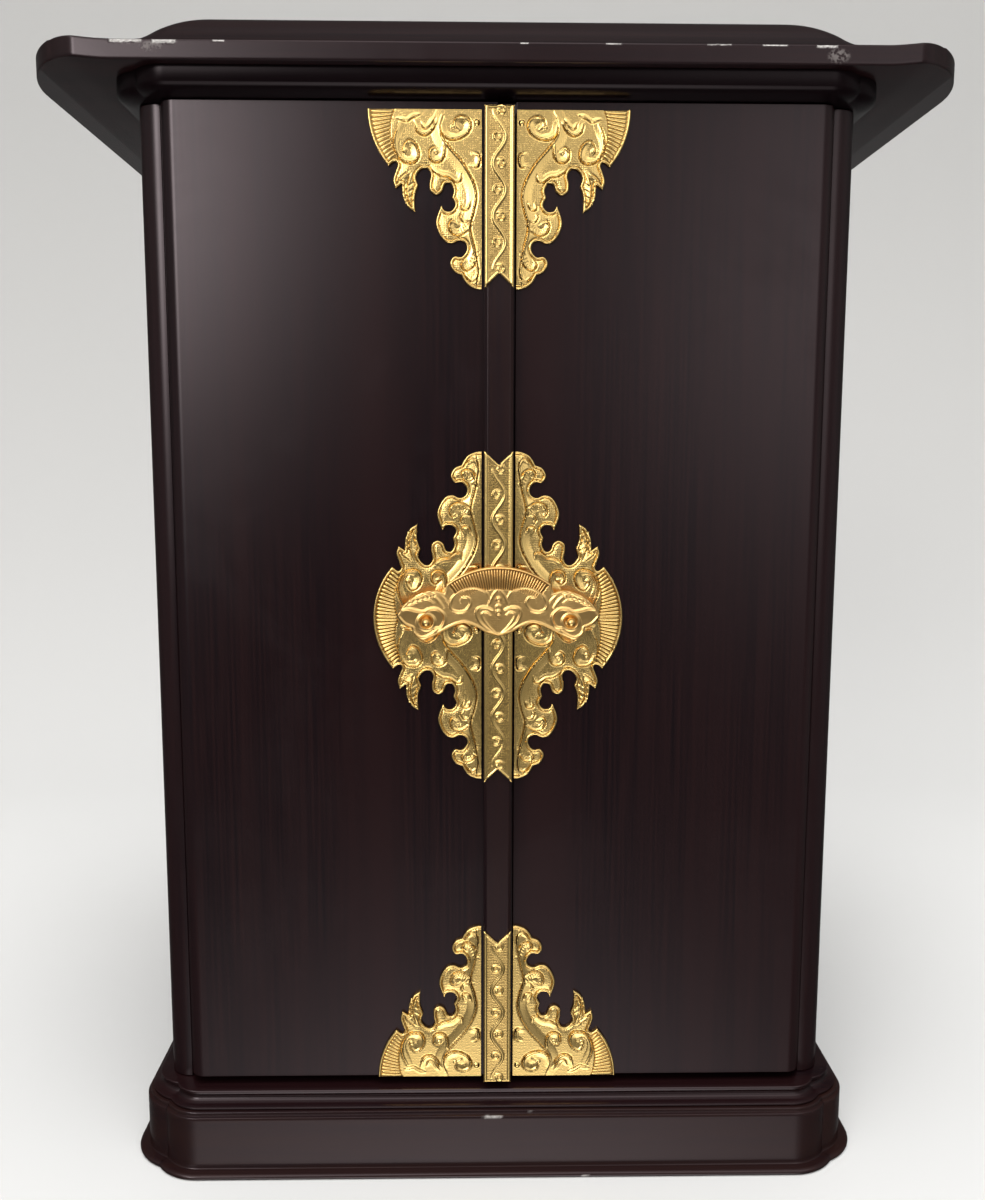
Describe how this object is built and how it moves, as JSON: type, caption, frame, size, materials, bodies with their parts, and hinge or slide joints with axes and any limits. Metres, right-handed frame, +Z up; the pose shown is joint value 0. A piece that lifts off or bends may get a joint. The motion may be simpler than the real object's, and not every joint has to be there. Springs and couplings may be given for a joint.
{
  "type": "household altar cabinet",
  "caption": "Lacquered wooden household altar cabinet with a winged roof, a moulded base, paired front doors and embossed gilt corner, centre and latch fittings.",
  "frame": {"origin": "on the surface that the cabinet stands on, under the middle of its width and depth", "axes": "+Z up, -Y towards the viewer in front of the doors, +X to that viewer's right"},
  "size_m": [0.433, 0.33, 0.55],
  "materials": {
    "lacquered_wood": "dark purplish-brown satin lacquer over fine vertical grain",
    "gilt_brass": "pressed sheet brass with a bright yellow gilt plating",
    "latch_brass": "pressed and turned brass with a warmer gilt plating"
  },
  "bodies": {
    "cabinet": {"base_front_rail": "lacquered_wood", "base_left_rail": "lacquered_wood", "base_right_rail": "lacquered_wood", "base_back_rail": "lacquered_wood", "floor_board": "lacquered_wood", "left_side_panel": "lacquered_wood", "right_side_panel": "lacquered_wood", "back_panel": "lacquered_wood", "cornice_board": "lacquered_wood", "roof_brim": "lacquered_wood", "roof_crown": "lacquered_wood"},
    "left_door": {"left_door": "lacquered_wood", "meeting_strip": "lacquered_wood", "upper_left_plate": "gilt_brass", "middle_left_plate": "gilt_brass", "lower_left_plate": "gilt_brass", "upper_strip_cover": "gilt_brass", "middle_strip_cover": "gilt_brass", "lower_strip_cover": "gilt_brass", "latch_bar": "latch_brass", "left_stud": "latch_brass"},
    "right_door": {"right_door": "lacquered_wood", "upper_right_plate": "gilt_brass", "middle_right_plate": "gilt_brass", "lower_right_plate": "gilt_brass", "right_stud": "latch_brass"}
  },
  "joints": [
    {"name": "left_door_hinge", "type": "hinge", "parent": "cabinet", "child": "left_door", "pos_m": [-0.1454, -0.1403, 0.276], "axis": [0, 0, -1], "range_deg": [0, 110]},
    {"name": "right_door_hinge", "type": "hinge", "parent": "cabinet", "child": "right_door", "pos_m": [0.1454, -0.1403, 0.276], "axis": [0, 0, -1], "range_deg": [-110, 0]}
  ],
  "couplings": [
    {"joint": "right_door_hinge", "follows": "left_door_hinge", "ratio": -1}
  ]
}
